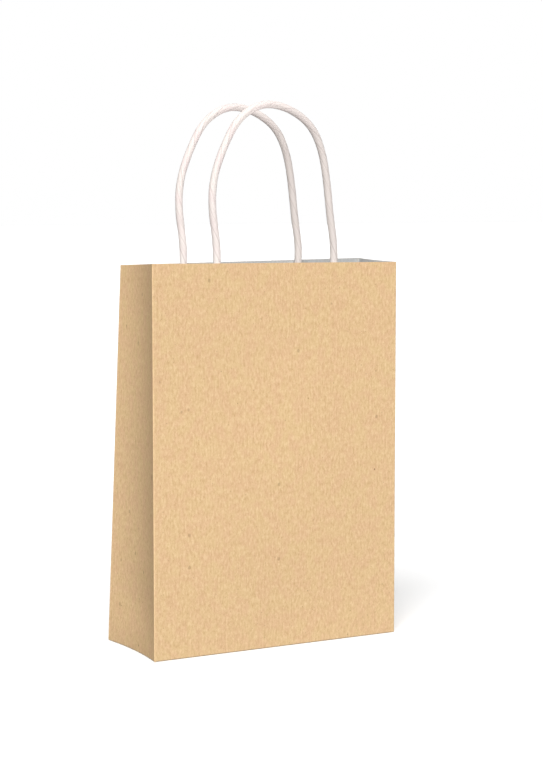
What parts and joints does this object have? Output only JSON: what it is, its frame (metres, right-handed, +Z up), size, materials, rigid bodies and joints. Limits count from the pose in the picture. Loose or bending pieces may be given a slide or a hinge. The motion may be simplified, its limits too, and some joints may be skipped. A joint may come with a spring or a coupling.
{
  "type": "gift bag",
  "caption": "Upright brown paper gift bag with a block bottom, fold-in side gussets and twisted white cord handles.",
  "frame": {"origin": "middle of the footprint, on the surface that the bag stands on", "axes": "+Z up, X across the front panel, -Y towards the front panel, which is upright"},
  "size_m": [0.15, 0.06, 0.2962],
  "materials": {
    "kraft_paper": "matt uncoated kraft outside, pale grey inside",
    "patch_paper": "matt white paper",
    "handle_cord": "matt twisted paper cord"
  },
  "bodies": {
    "back_wall": {"back_panel": "kraft_paper", "back_seam_lap": "kraft_paper", "back_handle_backing_patch": "patch_paper", "back_handle_cover_patch": "patch_paper", "back_handle_left_end": "handle_cord", "back_handle_right_end": "handle_cord"},
    "left_gusset_back": {"left_gusset_back_half": "kraft_paper"},
    "left_gusset_front": {"left_gusset_front_half": "kraft_paper"},
    "right_gusset_back": {"right_gusset_back_half": "kraft_paper"},
    "right_gusset_front": {"right_gusset_front_half": "kraft_paper"},
    "front_wall": {"front_panel": "kraft_paper", "front_handle_backing_patch": "patch_paper", "front_handle_cover_patch": "patch_paper", "front_handle_left_end": "handle_cord", "front_handle_right_end": "handle_cord"},
    "bottom": {"bottom_outer_flap": "kraft_paper", "bottom_inner_flap": "kraft_paper", "bottom_left_ear": "kraft_paper", "bottom_right_ear": "kraft_paper"},
    "front_handle": {"front_handle_loop": "handle_cord"},
    "back_handle": {"back_handle_loop": "handle_cord"}
  },
  "joints": [
    {"name": "left_back_crease", "type": "hinge", "parent": "back_wall", "child": "left_gusset_back", "pos_m": [-0.0747, 0.0297, 0], "axis": [0, -0.0952, 0.9955], "range_deg": [0, 76]},
    {"name": "left_middle_crease", "type": "hinge", "parent": "left_gusset_back", "child": "left_gusset_front", "pos_m": [-0.075, -0.00007, 0], "axis": [0, -0.0476, 0.9989], "range_deg": [-152, 0]},
    {"name": "left_front_crease", "type": "hinge", "parent": "left_gusset_front", "child": "front_wall", "pos_m": [-0.0747, -0.0297, 0], "axis": [0, 0, 1], "range_deg": [0, 76]},
    {"name": "right_back_crease", "type": "hinge", "parent": "back_wall", "child": "right_gusset_back", "pos_m": [0.0747, 0.0297, 0], "axis": [0, -0.0952, 0.9955], "range_deg": [-76, 0]},
    {"name": "right_middle_crease", "type": "hinge", "parent": "right_gusset_back", "child": "right_gusset_front", "pos_m": [0.075, -0.00007, 0], "axis": [0, -0.0476, 0.9989], "range_deg": [0, 152]},
    {"name": "bottom_back_crease", "type": "hinge", "parent": "back_wall", "child": "bottom", "pos_m": [0, 0.0297, 0.0003], "axis": [-1, 0, 0], "range_deg": [0, 71.83], "deforming": ["bottom_left_ear", "bottom_right_ear"]},
    {"name": "front_handle_bend", "type": "hinge", "parent": "front_wall", "child": "front_handle", "pos_m": [0, -0.0275, 0.2125], "axis": [1, 0, 0], "range_deg": [0, 90]},
    {"name": "back_handle_bend", "type": "hinge", "parent": "back_wall", "child": "back_handle", "pos_m": [0, 0.00729, 0.21133], "axis": [-1, 0, 0], "range_deg": [0, 84]}
  ],
  "couplings": [
    {"joint": "left_middle_crease", "follows": "left_back_crease", "ratio": -2},
    {"joint": "left_front_crease", "follows": "left_back_crease", "ratio": 1},
    {"joint": "right_back_crease", "follows": "left_back_crease", "ratio": -1},
    {"joint": "right_middle_crease", "follows": "left_back_crease", "ratio": 2},
    {"joint": "bottom_back_crease", "follows": "left_back_crease", "ratio": 0.945}
  ]
}
